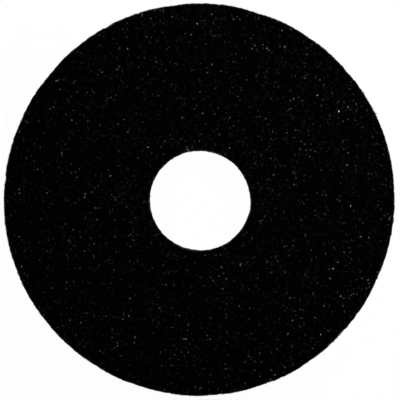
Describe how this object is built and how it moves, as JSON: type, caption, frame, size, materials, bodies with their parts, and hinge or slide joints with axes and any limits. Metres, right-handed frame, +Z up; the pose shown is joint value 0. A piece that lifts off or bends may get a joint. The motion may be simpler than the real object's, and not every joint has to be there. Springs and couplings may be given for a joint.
{
  "type": "floor polishing pad",
  "caption": "Round black non-woven fibre pad with a wide centre hole, for stripping hard floors under a single-disc floor machine.",
  "frame": {"origin": "centre of the underside, on the axis of the pad and of its centre hole", "axes": "+Z up through the pad's thickness, out of the face that the pad driver grips; X and Y lie in the pad's plane"},
  "size_m": [0.33, 0.33, 0.025],
  "materials": {
    "black_fibre_web": "matte"
  },
  "bodies": {
    "root": {"fibre_pad": "black_fibre_web"}
  },
  "joints": []
}
